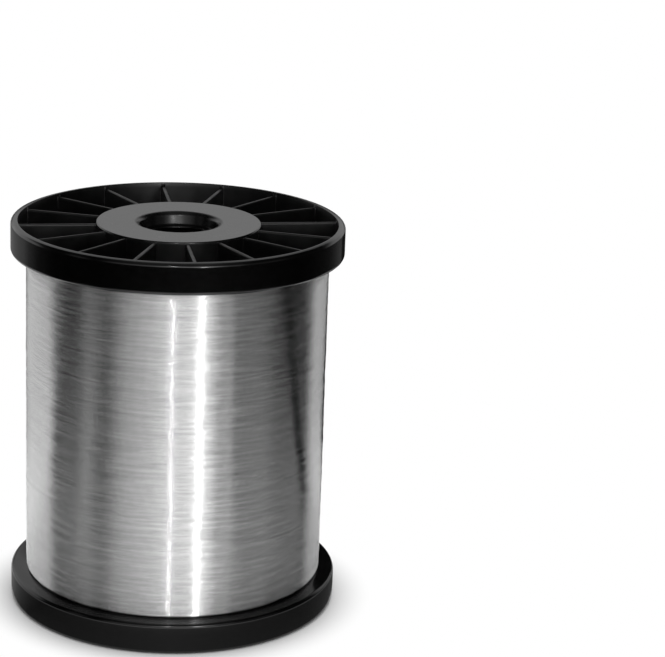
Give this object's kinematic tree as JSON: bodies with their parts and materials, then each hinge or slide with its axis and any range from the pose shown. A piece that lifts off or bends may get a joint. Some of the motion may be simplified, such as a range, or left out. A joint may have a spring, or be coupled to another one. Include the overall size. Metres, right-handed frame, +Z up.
{
  "type": "spool of copper clad steel wire",
  "caption": "Full spool of fine tinned copper clad steel wire: ribbed plastic flanges on a barrel, with a through spindle bore, standing on its lower flange.",
  "frame": {"origin": "floor level at the centre of the lower flange's rim, on the spindle axis", "axes": "+Z up along the spindle axis; +X through the middle of one of the upper flange's ribs"},
  "size_m": [0.2, 0.2, 0.238],
  "materials": {
    "wire": "bright tinned surface of fine round wire, wound close in even turns",
    "spool_plastic": "black injection moulded plastic, satin, slightly mottled on the hub",
    "disc_card": "smooth dark grey plastic sheet, satin"
  },
  "bodies": {
    "root": {"upper_flange": "spool_plastic", "lower_flange": "spool_plastic", "barrel": "spool_plastic", "wire_winding": "wire", "end_disc": "disc_card"}
  },
  "joints": []
}
